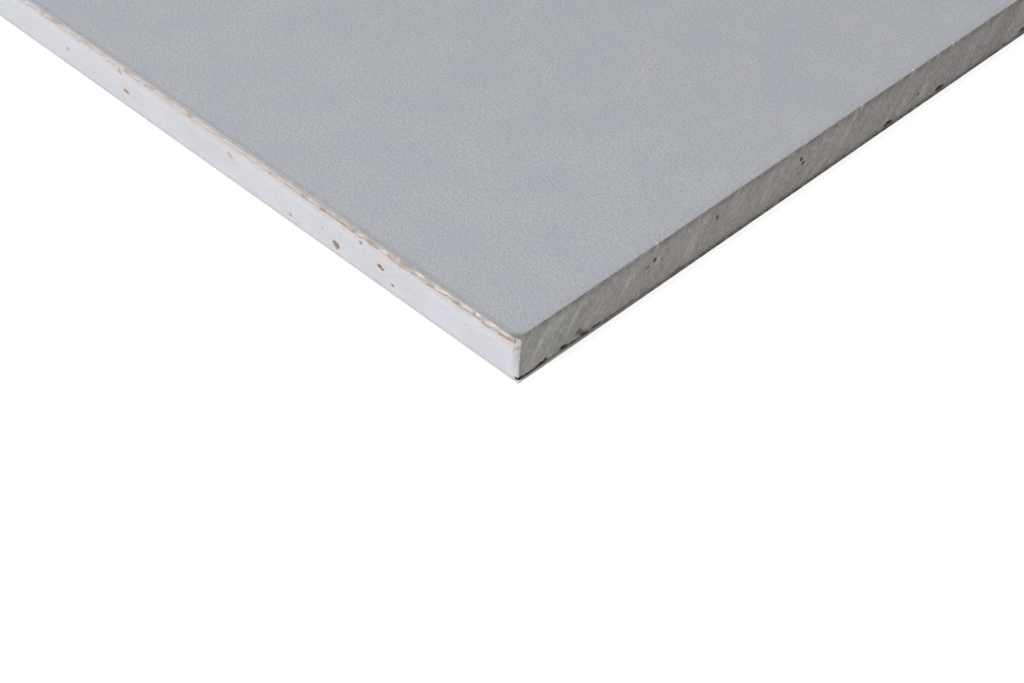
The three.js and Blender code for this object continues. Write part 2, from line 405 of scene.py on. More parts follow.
def backing_paper():
    """Unbleached recycled board: grey-beige with darker fibre. Along the sawn side away from the
    corner it is darkened, partly by soil and partly with painted shade where it meets the floor;
    near the corner its sawn edge is painted paler for the light that the floor throws back, and
    where it shows inside the slots it is painted with their shade."""
    material, tree = new_material("unbleached_backing_paper")
    place, from_end, from_side, up = places(tree)
    sawn_edge = share(tree, (from_side, 0.4 * MM, 0.0))
    patchy = share(tree, (mottle(tree, place, 2.4 * MM, 0.35, 0.6), -0.8, 1.0))
    top = share(tree, (up, BACK_PAPER_TOP - 0.03 * MM, BACK_PAPER_TOP))
    # Painted shade where it shows inside the slots along the core's foot
    shade_in_slots = share(tree, top, (from_side, 0.25 * MM, 0.4 * MM), (from_side, 2.2 * MM, 2.0 * MM),
                     (from_end, 0.3 * MM, 0.6 * MM), (from_end, 40 * MM, 18 * MM), 0.9)
    board = coats(
        tree, "#e3e2e3",
        (mottle(tree, place, 1.2 * MM, 0.35, 0.65), "#d8d6d7"),
        # soil, and painted shade where the sawn edge meets the floor
        (share(tree, sawn_edge, patchy, (from_end, 14 * MM, 52 * MM)), "#706a64"),
        # painted light: the sawn edge paler near the corner, for the light that the floor throws
        # back
        (share(tree, sawn_edge, (from_end, 26 * MM, 12 * MM)), "#fbfafa"),
        (share(tree, (from_end, 0.6 * MM, 0.4 * MM), (from_side, 0.4 * MM, 1.2 * MM)),
         coats(tree, "#dededf", (top, "#c6c4c8"))),
        (shade_in_slots, "#2e2823"),
    )
    matt_surface(tree, board, roughness=0.9, specular=0.3,
                 grain_size=0.9 * MM, grain_depth=0.08 * MM)
    return material


# -------------------- modelling helpers
def deselect_all():
    """Leaves edit mode, if it is on, with nothing selected."""
    if bpy.context.object and bpy.context.object.mode != "OBJECT":
        bpy.ops.object.mode_set(mode="OBJECT")
    bpy.ops.object.select_all(action="DESELECT")


def activate(piece):
    deselect_all()
    bpy.context.view_layer.objects.active = piece
    piece.select_set(True)


def joined(pieces):
    activate(pieces[0])
    for piece in pieces:
        piece.select_set(True)
    bpy.ops.object.join()
    return pieces[0]


def pick_faces(piece, test):
    """Enters edit mode with the faces selected that pass the test."""
    bpy.ops.object.mode_set(mode="EDIT")
    bpy.ops.mesh.select_mode(type="FACE")
    bpy.ops.mesh.select_all(action="DESELECT")
    bpy.ops.object.mode_set(mode="OBJECT")
    for face in piece.data.polygons:
        face.select = test(face)
    bpy.ops.object.mode_set(mode="EDIT")


def edit_all():
    """Enters edit mode with all of the active piece selected."""
    bpy.ops.object.mode_set(mode="EDIT")
    bpy.ops.mesh.select_all(action="SELECT")


def rotate(angle, axis):
    """Turns what is selected in edit mode about the origin."""
    bpy.ops.transform.rotate(value=angle, orient_axis=axis, center_override=(0, 0, 0))


def extrude(*offset):
    bpy.ops.mesh.extrude_region_move(TRANSFORM_OT_translate={"value": offset})


def face_outwards():
    """Turns every face of the piece being edited outwards, and leaves edit mode."""
    bpy.ops.mesh.select_all(action="SELECT")
    bpy.ops.mesh.normals_make_consistent(inside=False)
    bpy.ops.object.mode_set(mode="OBJECT")


def finish_with(piece, kind, **settings):
    """Puts a modifier on the piece and applies it."""
    modifier = adjusted(piece.modifiers.new(kind.lower(), kind), **settings)
    bpy.context.view_layer.objects.active = piece
    bpy.ops.object.modifier_apply(modifier=modifier.name)


def cut_out(piece, tool, **settings):
    """Cuts the tool's shape out of the piece and throws the tool away."""
    finish_with(piece, "BOOLEAN", operation="DIFFERENCE", object=tool, solver="EXACT", **settings)
    bpy.data.objects.remove(tool)


def weigh(piece, name, weight_at):
    """A vertex group whose weight follows each vertex's place."""
    group = piece.vertex_groups.new(name=name)
    members = {}
    for vertex in piece.data.vertices:
        step = round(WEIGHT_STEPS * min(max(weight_at(vertex.co), 0.0), 1.0))
        if step:
            members.setdefault(step, []).append(vertex.index)
    for step, indices in members.items():
        group.add(indices, step / WEIGHT_STEPS, "REPLACE")


def ramp(value, low, high):
    """0 at low, 1 at high, straight between and level beyond."""
    return min(max((value - low) / (high - low), 0.0), 1.0)


def ragged(along, size, seed):
    """Seeded raggedness from -1 to 1, in bites of about this size."""
    return noise.noise(Vector((along / size, seed, 0.5 * seed)))


def write(piece, name, value_at):
    """A number for each vertex, which the material reads."""
    attribute = piece.data.attributes.new(name, "FLOAT", "POINT")
    for vertex, item in zip(piece.data.vertices, attribute.data):
        item.value = value_at(vertex.co)


def grain(name, kind, **settings):
    """A procedural texture for a Displace modifier."""
    return adjusted(bpy.data.textures.new(name, kind), **settings)


def carve(piece, texture, depth, group="", direction="NORMAL", space=Matrix()):
    """Cuts into the piece by up to depth, as the texture goes from white to black.

    A direction of X, Y or Z moves the surface towards that axis's plus end, and NORMAL moves it
    inwards. With no group, the whole piece is cut. The space holds the place and turn of the
    texture and the sizes of its grain.
    """
    guide = linked("guide", None)
    guide.matrix_world = space
    bpy.context.view_layer.update()
    finish_with(piece, "DISPLACE", texture=texture, mid_level=1.0, direction=direction,
                strength=depth if direction == "NORMAL" else -depth, vertex_group=group,
                texture_coords="OBJECT", texture_coords_object=guide)
    bpy.data.objects.remove(guide)


def set_back(piece, distance, group, direction):
    """Moves the group towards the axis's plus end by up to distance, as its weights say."""
    finish_with(piece, "DISPLACE", direction=direction, strength=distance, mid_level=0.0,
                vertex_group=group)


def dress(piece, material):
    piece.data.materials.clear()
    piece.data.materials.append(material)


def put_in_frame(piece, node, material):
    """Smooths a finished piece, and gives it its material and its place in the frame."""
    activate(piece)
    bpy.ops.object.shade_smooth_by_angle(angle=SMOOTH_ANGLE)
    dress(piece, material)
    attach(piece, "root")
    if node:
        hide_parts(node)


# -------------------- the sheet's own lines
def arc(centre, radius, start, stop):
    """Points on a quarter round, in degrees from +Y towards +Z."""
    turns = [math.radians(start + (stop - start) * k / ARC_STEPS) for k in range(ARC_STEPS + 1)]
    return [(centre[0] + radius * math.cos(t), centre[1] + radius * math.sin(t)) for t in turns]


def face_paper_line(inset):
    """Across the face, down the taper, round the factory edge and back under the sheet."""
    edge = FACTORY_EDGE - inset
    radius = BOUND_EDGE_RADIUS - inset
    shoulder = SHEET_TOP - TAPER_DEPTH - inset
    lap = CORE_BOTTOM + inset
    return [
        (SAWN_SIDE, SHEET_TOP - inset),
        (TAPER_START, SHEET_TOP - inset),
        *arc((edge - radius, shoulder - radius), radius, 90, 0),
        *arc((edge - radius, lap + radius), radius, 0, -90),
        (LAP_END, lap),
    ]


def run_along_sheet(name, line):
    """A section drawn across the cut end as one face, extruded the sheet's whole length."""
    deselect_all()
    bpy.ops.mesh.primitive_plane_add(size=1)
    piece = bpy.context.object
    piece.name = name
    edit_all()
    bpy.ops.mesh.select_mode(type="VERT")
    bpy.ops.mesh.merge(type="CENTER")
    bpy.ops.transform.translate(value=(CUT_END, *line[0]))
    for (y0, z0), (y1, z1) in zip(line, line[1:]):
        extrude(0, y1 - y0, z1 - z0)
    bpy.ops.mesh.select_all(action="SELECT")
    bpy.ops.mesh.edge_face_add()
    extrude(FAR_END - CUT_END, 0, 0)
    face_outwards()
    return piece


def along_end(co):
    return co.y - SAWN_SIDE


def along_side(co):
    return co.x - CUT_END


def score_along_cuts(depth):
    """Cuts all faces of the piece being edited along a line this far in from each cut side."""
    for x, y, across in ((CUT_END + depth, 0, (1, 0, 0)), (0, SAWN_SIDE + depth, (0, 1, 0))):
        bpy.ops.mesh.select_all(action="SELECT")
        bpy.ops.mesh.bisect(plane_co=(x, y, 0), plane_no=across)


# -------------------- gypsum core
# Air bubbles in millimetres: along from the near corner, up from the floor, wide, tall, deep, and
# how far they lean in degrees
END_VOIDS = [
    (38.4, 2.5, 1.3, 1.1, 1.0, 0), (42.0, 5.35, 2.3, 1.6, 1.3, -8), (48.1, 8.5, 1.1, 1.0, 1.2, 20),
    (56.9, 2.7, 2.4, 2.4, 1.2, 20), (93.3, 7.3, 2.2, 2.0, 0.2, 0), (129.9, 4.2, 1.1, 0.9, 0.6, 0),
    (133.4, 4.4, 2.1, 1.6, 1.4, 0), (13.9, 0.9, 0.6, 0.7, 0.5, 0), (15.4, 5.9, 0.6, 0.8, 0.6, 0),
    (61.1, 5.0, 1.0, 0.9, 0.45, 0), (69.8, 1.4, 1.1, 0.8, 0.4, 0), (72.5, 2.0, 1.3, 1.2, 0.5, 10),
    (135.2, 9.2, 1.4, 1.6, 0.4, 0), (157.3, 5.0, 1.2, 1.4, 0.4, 0),
]
SIDE_VOIDS = [
    (40.9, 8.0, 1.3, 1.2, 1.3, -20), (42.8, 7.0, 0.7, 0.8, 0.9, -20), (60.4, 8.2, 0.9, 1.3, 1.0, 0),
    (88.4, 8.2, 1.3, 1.3, 1.2, -20), (89.1, 6.7, 1.3, 1.1, 1.2, -20), (87.5, 4.8, 0.9, 1.0, 1.0, 0),
    (131.1, 3.7, 1.2, 1.2, 1.0, -15), (36.7, 2.2, 0.7, 0.8, 0.5, 0), (38.4, 7.4, 1.6, 1.0, 0.4, 0),
]
# Chips that the saw broke out along the foot, in the same order, and how much painted shade
# darkens each inside
SAW_CHIPS = [
    (0.7, 0.95, 1.7, 0.75, 0.9, 0, 1.0), (3.6, 0.85, 4.6, 0.4, 1.9, 0, 1.0),
    (7.0, 1.02, 2.6, 0.62, 1.8, 4, 1.0), (8.1, 1.4, 0.7, 0.8, 1.5, 10, 0.9),
    (13.3, 1.3, 1.9, 0.7, 1.6, 8, 1.0), (15.8, 0.95, 3.0, 0.4, 1.4, 0, 0.85),
    (17.8, 2.5, 1.3, 1.1, 0.7, 20, 0.5), (18.6, 1.6, 1.7, 1.3, 0.6, 20, 0.3),
    (19.6, 1.0, 2.0, 0.5, 1.4, 0, 0.85), (22.8, 1.05, 2.6, 0.55, 1.5, 0, 0.95),
    (26.0, 0.85, 3.0, 0.35, 1.0, 0, 0.35), (29.8, 0.95, 4.8, 0.35, 1.2, 0, 0.65),
    (33.5, 1.1, 1.2, 0.45, 1.0, 15, 0.5), (38.6, 0.7, 4.6, 0.35, 0.9, 0, 0.45),
    (48.2, 0.8, 3.6, 0.6, 0.9, 0, 0.55), (120.1, 1.05, 2.4, 1.3, 1.6, 10, 0.9),
    (139.6, 1.0, 2.6, 1.1, 1.5, 10, 0.9), (172.5, 1.1, 2.4, 1.6, 1.3, 20, 0.6),
]
# Brown smears on the sawn side, in millimetres: along, up, wide, how brown
SMEARS = [
    (18.0, 2.7, 1.9, 1.0), (19.2, 1.7, 2.0, 1.0), (37.9, 6.9, 2.6, 0.5), (16.3, 12.0, 1.4, 0.6),
]
# The saw's pale scrapes and light flakes, in millimetres: along, up, long, wide, how pale
SCRAPES = [
    (2.6, 4.2, 4.0, 0.9, 0.83), (41.4, 11.6, 1.0, 0.8, 1), (109.1, 11.5, 1.3, 1.0, 1),
    (123.5, 11.6, 0.8, 0.7, 0.8), (127.9, 11.6, 2.0, 1.1, 1), (137.2, 11.5, 1.1, 0.9, 1),
    (142.9, 11.6, 1.0, 0.7, 0.8), (6.9, 6.8, 10.0, 1.5, 0.95), (12.2, 9.0, 4.0, 0.9, 0.71),
    (16.6, 7.6, 8.0, 1.1, 1), (20.0, 3.0, 1.6, 1.2, 1), (24.0, 5.7, 5.5, 0.9, 1),
    (32.2, 6.9, 5.0, 1.2, 0.83), (41.6, 7.6, 2.0, 1.2, 1), (52.0, 6.0, 7.0, 1.2, 0.25),
    (66.0, 8.0, 6.0, 1.2, 0.4), (76.0, 5.0, 7.0, 1.3, 0.71), (89.6, 7.8, 1.0, 0.8, 1),
    (104.0, 6.0, 7.0, 1.2, 0.4), (123.5, 2.2, 1.0, 0.8, 1), (125.6, 4.5, 5.0, 1.0, 1),
    (132.6, 3.8, 2.8, 1.5, 1), (150.0, 7.0, 7.0, 1.2, 0.2),
]
# Crumbs left on the pressed-down edge, in millimetres: along from the near corner, how long
CRUMBS = [
    (41.3, 0.9), (89.6, 0.6), (109.0, 0.9), (123.4, 0.8),
    (127.8, 1.5), (137.1, 0.9), (142.7, 0.9), (166.0, 0.9),
]


def near_corner_block(margin=0.0):
    """The L of core that runs along the two cut sides, as a plain block. A margin makes it stand
    out of the sheet all round, to cut with."""
    deselect_all()
    bpy.ops.mesh.primitive_plane_add(size=1)
    block = bpy.context.object
    block.name = "near_corner_block"
    edit_all()
    side = RUN + margin
    bpy.ops.transform.resize(value=(side, side, 1))
    middle = side / 2 - margin
    bpy.ops.transform.translate(value=(CUT_END + middle, SAWN_SIDE + middle, CORE_BOTTOM - margin))
    score_along_cuts(BLOCK_DEPTH)
    pick_faces(block, lambda face: behind_block(face.center))
    bpy.ops.mesh.delete(type="FACE")
    bpy.ops.mesh.select_all(action="SELECT")
    extrude(0, 0, CORE_TOP - CORE_BOTTOM + 2 * margin)
    face_outwards()
    return block


def worn_reach(co):
    """How far the wear of the upright arris reaches along the long side, and along the end."""
    up = ramp(co.z, CORE_BOTTOM, CORE_TOP)
    return (0.35 + 1.3 * up) * MM, (1.0 + 0.35 * up) * MM


def worn_away(co):
    """How far each way the arris wore back, to a facet wider at the top than at the foot."""
    along, across = worn_reach(co)
    left = max(1 - along_side(co) / along - along_end(co) / across, 0.0)
    return left ** 1.2 / (1 / along + 1 / across)


def behind_block(co):
    return min(along_side(co), along_end(co)) > BLOCK_DEPTH


def lumpy_egg(size, seed):
    """A lumpy egg at the origin, for an air bubble or a crumb. Size is how wide, deep and tall."""
    deselect_all()
    bpy.ops.mesh.primitive_ico_sphere_add(subdivisions=3, radius=0.5)
    egg = bpy.context.object
    edit_all()
    bpy.ops.transform.resize(value=size)
    bpy.ops.object.mode_set(mode="OBJECT")
    lumps = grain("lumps", "CLOUDS", noise_scale=0.7 * MM, noise_depth=1)
    apart = Matrix.Translation(Vector((seed, seed, 0)) * 5 * MM)  # so that no two eggs are alike
    carve(egg, lumps, 0.35 * min(size), space=apart)
    return egg


def hollows():
    """Every bubble and chip that the cuts opened, in its place, as one shape to cut with."""
    shapes = []
    rows = [(row, "end") for row in END_VOIDS]
    rows += [(row[:6], "side") for row in SIDE_VOIDS + SAW_CHIPS]
    for seed, ((along, up, wide, tall, deep, lean), face) in enumerate(rows):
        egg = lumpy_egg((MOUTH * wide * MM, 2 * deep * MM, MOUTH * tall * MM), seed)
        edit_all()
        rotate(math.radians(-lean), "Y")
        spot = (CUT_END + along * MM, SAWN_SIDE, up * MM)
        if face == "end":
            rotate(math.pi / 2, "Z")
            spot = (CUT_END, SAWN_SIDE + along * MM, up * MM)
        bpy.ops.transform.translate(value=spot)
        bpy.ops.object.mode_set(mode="OBJECT")
        shapes.append(egg)
    return joined(shapes)


def on_cut(depth, along):
    """1 on a cut face and in its hollows, 0 in the core behind, round the corner and at the far
    end of the fine work."""
    behind = ramp(depth, BLOCK_DEPTH - 3 * VOXEL, BLOCK_DEPTH - VOXEL)
    at_end = ramp(max(along, depth), RUN - FADE, RUN - VOXEL)
    return (1 - behind) * ramp(along, 0.0, 0.8 * MM) * (1 - at_end)


def on_cut_end(co):
    return on_cut(along_side(co), along_end(co))


def on_sawn_side(co):
    return on_cut(along_end(co), along_side(co))


def in_hollow(co):
    """1 inside an open bubble or chip, 0 on the cut faces and on the block's other flat ones."""
    depth = min(along_side(co), along_end(co))
    from_paper = min(co.z - CORE_BOTTOM, CORE_TOP - co.z)
    if (near_corner(co) and co.z > 2 * MM) or chip_shade_at(co) > 0:
        return 0.0
    if depth < VOXEL and from_paper < 1.2 * VOXEL:
        return 0.0
    if depth > BLOCK_DEPTH - 0.3 * VOXEL or from_paper < 0.3 * VOXEL:
        return 0.0
    return ramp(depth, 0.02 * MM, 0.35 * MM)


def chip_shade_at(co):
    """How much painted shade darkens the chip that this place lies in, on the sawn side, and 0
    outside any chip.
    """
    if co.z > CHIPS_TOP:
        return 0.0
    dark = 0.0
    for along, up, wide, tall, deep, _, shade in SAW_CHIPS:
        off_along = (along_side(co) / MM - along) / (0.5 * MOUTH * wide)
        off_up = (co.z / MM - up) / (0.5 * MOUTH * tall)
        if abs(off_along) < 1.2 and along_end(co) < min(deep * MM, BLOCK_DEPTH - 0.3 * VOXEL):
            dark = max(dark, shade * (1 - ramp(off_along ** 2 + off_up ** 2, 0.7, 1.3)))
    return dark


def scraped(co):
    """How pale the saw's scrapes left this place."""
    if along_end(co) > MARK_DEPTH:
        return 0.0
    lean = math.radians(SAW_LEAN)
    pale = 0.0
    for along, up, long, wide, strength in SCRAPES:
        off_along, off_up = along_side(co) / MM - along, co.z / MM - up
        if abs(off_along) < long:
            stroke = (off_along * math.cos(lean) + off_up * math.sin(lean)) / (0.5 * long)
            across = (off_up * math.cos(lean) - off_along * math.sin(lean)) / (0.5 * wide)
            pale += strength * math.exp(-(stroke ** 2) - across ** 2)
    return min(pale, 1.0)


def stained(co):
    """How stained the knife-cut face is round each of its larger bubbles."""
    if along_side(co) > MARK_DEPTH:
        return 0.0
    tinted = 0.0
    for along, up, wide, *_ in END_VOIDS:
        if wide >= 1.3:
            off_along, off_up = along_end(co) / MM - along - 0.3, co.z / MM - up - 0.2
            tinted = max(tinted, math.exp(-((off_along ** 2 + off_up ** 2) / (0.95 * wide) ** 2)))
    return 0.7 * tinted


def smeared(co):
    """How brown the saw smeared the sawn face beside its larger hollows."""
    if along_end(co) > MARK_DEPTH:
        return 0.0
    brown = 0.0
    for along, up, wide, strength in SMEARS:
        off_along, off_up = along_side(co) / MM - along, co.z / MM - up
        off = (off_along ** 2 + off_up ** 2) / (0.5 * wide) ** 2
        brown = max(brown, strength * math.exp(-off))
    return brown


def shallow(depth):
    """1 on a cut face itself, 0 in its hollows."""
    return 1 - ramp(depth, 0.3 * MM, 0.8 * MM)


def on_side_face(co):
    return shallow(along_end(co)) * on_sawn_side(co)


def against_back_paper(co):
    return 1 - ramp(co.z - CORE_BOTTOM, 0.15 * MM, 0.6 * MM)


def under_face_paper(co):
    return 1 - ramp(CORE_TOP - co.z, 0.15 * MM, 0.9 * MM)


def torn_arris(co):
    """1 where the torn plies lie over the gypsum."""
    under_plies = 1 - ramp(CORE_TOP - co.z, 1.9 * MM, 4.4 * MM)
    return under_plies * shallow(along_side(co)) * on_cut_end(co)


def near_corner(co):
    """1 on the worn upright arris."""
    return 1 - ramp(max(along_side(co), along_end(co)), 0.9 * MM, 1.6 * MM)


def cut_gypsum(block):
    """The blade's marks, the open pores and the broken arrises of the cut sides."""
    weigh(block, "end", on_cut_end)
    weigh(block, "side", on_sawn_side)
    weigh(block, "side_face", on_side_face)
    weigh(block, "low_arris", lambda co: against_back_paper(co) * on_side_face(co))
    weigh(block, "top_arris", lambda co: under_face_paper(co) * on_side_face(co))
    weigh(block, "torn_arris", torn_arris)
    weigh(block, "worn_arris", near_corner)
    weigh(block, "worn_away", lambda co: worn_away(co) / MM)

    for direction in ("X", "Y"):
        set_back(block, MM, "worn_away", direction)
    swell = grain("swell", "CLOUDS", noise_scale=9 * MM, noise_depth=2)
    pores = grain("pores", "VORONOI", noise_scale=1.5 * MM, contrast=1.5)
    for group, back, direction in (("end", KNIFE_BACK, "X"), ("side", SAW_BACK, "Y")):
        set_back(block, back, group, direction)
        carve(block, swell, 0.1 * MM, group, direction)
        carve(block, pores, 0.05 * MM, group, direction)

    lean = Matrix.Rotation(math.radians(-SAW_LEAN), 4, "Y")
    stroke = Matrix.LocRotScale(None, None, Vector((22, 1, 0.9)) * MM)
    saw_marks = grain("saw_marks", "CLOUDS", noise_scale=1.0, noise_depth=2, contrast=1.8)
    carve(block, saw_marks, 0.12 * MM, "side_face", "Y", lean @ stroke)

    crumb = grain("crumb", "CLOUDS", noise_scale=1.3 * MM, noise_depth=2, contrast=1.8)
    for group, back, ragged_by, direction in (
        ("low_arris", 0.02, 0.3, "Y"),
        ("top_arris", 0.05, 0.2, "Y"),
        ("torn_arris", 0.2, 0.06, "X"),
    ):
        set_back(block, back * MM, group, direction)
        carve(block, crumb, ragged_by * MM, group, direction)
    carve(block, crumb, 0.12 * MM, "worn_arris", "X")
    carve(block, crumb, 0.12 * MM, "worn_arris", "Y")


def level_inner_faces(block):
    """Clears the fine grid off the flat faces that no one sees, inside and under the papers."""
    def inside(face):
        return min(along_side(face.center), along_end(face.center)) > 1.6 * MM

    for way in (Vector((1, 0, 0)), Vector((0, 1, 0)), Vector((0, 0, 1)), Vector((0, 0, -1))):
        pick_faces(block, lambda face: inside(face) and face.normal.dot(way) > SQUARE_ON)
        bpy.ops.mesh.dissolve_faces()
    bpy.ops.object.mode_set(mode="OBJECT")


def cast_gypsum_core():
    block = near_corner_block()
    inner = face_paper_line(FACE_PAPER)[::-1]
    core = run_along_sheet("cast_gypsum_core",
                           [(SAWN_SIDE, CORE_BOTTOM), (LAP_END, CORE_BOTTOM), *inner])
    cut_out(core, near_corner_block(margin=1 * MM))

    cut_out(block, hollows(), use_self=True)
    finish_with(block, "REMESH", mode="VOXEL", voxel_size=VOXEL)
    # the bubbles' brownish skins, with painted shade that deepens inwards
    write(block, "hollow_skin_and_shade", in_hollow)
    # painted shade inside the chips
    write(block, "painted_slot_shade", chip_shade_at)
    write(block, "scraped", scraped)
    write(block, "stain", stained)
    write(block, "smeared", smeared)
    cut_gypsum(block)
    level_inner_faces(block)
    return joined([core, block])


# -------------------- face paper
def fading(along):
    """1 along the fine work, dying to 0 at its far end."""
    return 1 - ramp(along, RUN - FADE, RUN)


def corner_lost(co):
    """How far each way the paper's own corner wore off."""
    return max(0.6 * MM - along_side(co) - along_end(co), 0.0) / 2


def paper_lost(co):
    """How far each point of the torn strip goes back along the sheet: a knife line that wanders."""
    along = along_end(co)
    if along > RUN or along_side(co) > STRIP - TINY or co.z < CORE_TOP - TINY:
        return 0.0
    wander = 0.12 + 0.10 * ragged(along, 6 * MM, 1)
    wander += 0.07 * ragged(along, 1.3 * MM, 2) + 0.04 * ragged(along, 0.5 * MM, 3)
    wander += ramp(along, 40 * MM, 70 * MM) * (0.12 + 0.35 * ragged(along, 7 * MM, 4))
    lost = max(wander, 0.02) * MM * (1 - along_side(co) / STRIP) * fading(along)
    return max(lost, corner_lost(co))


def paper_sawn(co):
    """How far each point of the sawn strip goes back across the sheet."""
    along = along_side(co)
    if along > RUN or along_end(co) > STRIP - TINY or co.z < CORE_TOP - TINY:
        return 0.0
    rough = 0.03 * MM * ragged(along, 2.5 * MM, 11) + 0.03 * MM * ragged(along, 0.5 * MM, 12)
    nick = max(ragged(along, 2.1 * MM, 13) - 0.45, 0.0) * 0.8 * MM
    lost = max(0.05 * MM + rough + nick, 0.0)
    return max(lost * (1 - along_end(co) / STRIP) * fading(along), corner_lost(co))


def paper_rolled(co):
    """How much of its drop each point has where the saw rolled the paper's edge down."""
    if along_side(co) > RUN or co.z < CORE_TOP + TINY:
        return 0.0
    up = ramp(co.z, CORE_TOP, SHEET_TOP)
    near = 1 - ramp(along_end(co), 0, ROLL)
    return up * near ** 1.6 * fading(along_side(co))


def shaded_rolled_edge(co):
    """Painted shade on the rolled edge: 1 at the very edge, dying to 0 within half a millimetre."""
    return paper_rolled(co) * (1 - ramp(along_end(co), 0, 0.5 * MM))


def wrapped_face_paper():
    outline = face_paper_line(0) + face_paper_line(FACE_PAPER)[::-1]
    paper = run_along_sheet("wrapped_face_paper", outline)

    bpy.ops.object.mode_set(mode="EDIT")
    score_along_cuts(STRIP)
    for k in range(1, round(RUN / SLICE) + 1):
        at = k * SLICE
        pick_faces(paper, lambda face: along_side(face.center) < STRIP)
        bpy.ops.mesh.bisect(plane_co=(0, SAWN_SIDE + at, 0), plane_no=(0, 1, 0))
        pick_faces(paper, lambda face: along_end(face.center) < STRIP)
        bpy.ops.mesh.bisect(plane_co=(CUT_END + at, 0, 0), plane_no=(1, 0, 0))

    def fine(face):
        near = min(along_side(face.center), along_end(face.center)) < STRIP
        within = max(along_side(face.center), along_end(face.center)) < RUN
        return near and within and max(face.normal.z, -face.normal.x, -face.normal.y) > 0.5

    pick_faces(paper, fine)
    bpy.ops.mesh.subdivide(number_cuts=PAPER_CELLS - 1)
    bpy.ops.object.mode_set(mode="OBJECT")

    write(paper, "torn",
          lambda co: 1 - ramp(co.z, CORE_TOP, SHEET_TOP) if along_side(co) < TINY else 0.0)
    write(paper, "rim", lambda co: 1 - ramp(along_side(co), 0, 0.6 * STRIP))
    write(paper, "sawn",
          lambda co: 1.0 if along_end(co) < TINY and co.z < SHEET_TOP - TINY else 0.0)
    write(paper, "rolled_edge_shade", shaded_rolled_edge)
    weigh(paper, "torn_back", lambda co: paper_lost(co) / STRIP)
    weigh(paper, "sawn_back", lambda co: paper_sawn(co) / STRIP)
    weigh(paper, "rolled", paper_rolled)
    set_back(paper, STRIP, "torn_back", "X")
    set_back(paper, STRIP, "sawn_back", "Y")
    set_back(paper, -ROLL_DROP, "rolled", "Z")
    return paper


# -------------------- torn plies
# Bunches of brown fibre, in millimetres: along from the near corner, up, long, tall, how brown
KNOTS = [
    (1.9, 11.3, 1.2, 1.0, 0.9), (3.8, 11.1, 4.0, 0.7, 0.5), (4.0, 10.55, 3.4, 0.7, 0.9),
    (9.8, 11.2, 1.0, 1.6, 0.4), (12.6, 11.2, 1.0, 1.0, 0.8), (17.8, 11.1, 2.4, 0.8, 0.8),
    (26.2, 11.3, 2.0, 1.8, 0.5), (33.2, 11.6, 4.0, 1.3, 0.9), (36.6, 11.3, 0.8, 0.9, 0.6),
    (38.4, 11.0, 1.0, 0.9, 0.6), (44.5, 11.1, 3.0, 1.4, 0.7), (50.2, 11.1, 3.0, 1.2, 0.7),
    (54.0, 10.9, 3.2, 1.1, 0.8), (57.6, 11.1, 2.4, 1.1, 0.6), (60.2, 11.0, 2.6, 1.2, 0.8),
    (66.4, 11.0, 2.6, 1.2, 0.5), (72.8, 10.9, 2.0, 0.8, 0.5), (78.4, 10.8, 1.6, 0.8, 0.6),
    (87.0, 11.2, 3.0, 0.8, 0.35), (95.5, 11.6, 3.0, 1.0, 0.35), (107.4, 11.4, 2.4, 2.6, 0.6),
    (115.0, 11.9, 3.4, 1.1, 0.55), (122.0, 11.7, 3.6, 1.3, 0.6), (124.4, 10.6, 1.4, 1.8, 0.5),
    (130.8, 11.8, 4.0, 1.5, 0.55), (141.0, 11.6, 3.0, 0.8, 0.3), (148.0, 11.5, 4.5, 1.5, 0.4),
    (153.0, 11.6, 3.0, 1.0, 0.3), (160.2, 11.7, 5.0, 1.4, 0.7), (166.0, 11.7, 3.0, 1.0, 0.45),
    (176.0, 11.3, 3.5, 1.0, 0.35),
]
# Torn flaps: where each begins, in millimetres along, how much cream it shows, and how far up
FLAPS = [
    (1.3, 1.0, 11.4), (5.3, 0.65, 11.7), (9.4, 0.0, 11.5), (10.5, 0.8, 11.7), (12.2, 0.0, 11.4),
    (13.0, 0.75, 11.5), (16.4, 0.0, 11.4), (19.6, 0.95, 11.2), (24.6, 0.1, 11.4), (27.6, 0.9, 11.4),
    (30.4, 0.0, 11.4), (35.2, 0.45, 11.3), (37.0, 0.1, 11.2), (39.0, 0.9, 11.0), (42.4, 0.0, 11.3),
    (46.4, 0.5, 11.1), (49.6, 0.0, 11.2), (51.8, 0.45, 11.5), (54.6, 0.1, 11.2), (56.0, 0.4, 11.6),
    (59.2, 0.1, 11.3), (61.5, 0.4, 11.3), (66.0, 0.1, 11.5), (70.0, 0.35, 11.2), (77.0, 0.15, 11.6),
    (82.0, 0.35, 11.4), (91.0, 0.1, 11.3), (97.0, 0.3, 11.6), (106.0, 0.1, 11.4),
    (113.0, 0.3, 11.3), (124.0, 0.1, 11.6), (131.0, 0.3, 11.4), (141.0, 0.1, 11.5),
    (152.0, 0.25, 11.4), (165.0, 0.1, 11.5), (176.0, 0.2, 11.5), (195.0, 0.0, 11.5),
]


def flap_at(along):
    """Where this is along its torn flap, from 0 to 1, how much cream that shows, and how far up."""
    for (near, cream, up), (far, _, _) in zip(FLAPS, FLAPS[1:]):
        if near * MM <= along < far * MM:
            return (along / MM - near) / (far - near), cream, up
    return 0.0, 0.0, 11.5


def ragged_over(co, along_size, up_size, seed):
    """Seeded raggedness over the cut face, from -1 to 1."""
    return noise.noise(Vector((along_end(co) / along_size, co.z / up_size, seed)))


def hanging(co):
    """0 where the plies leave the face paper, 1 at their feet."""
    return ramp(co.z, FRINGE_TOP, FRINGE_FOOT)


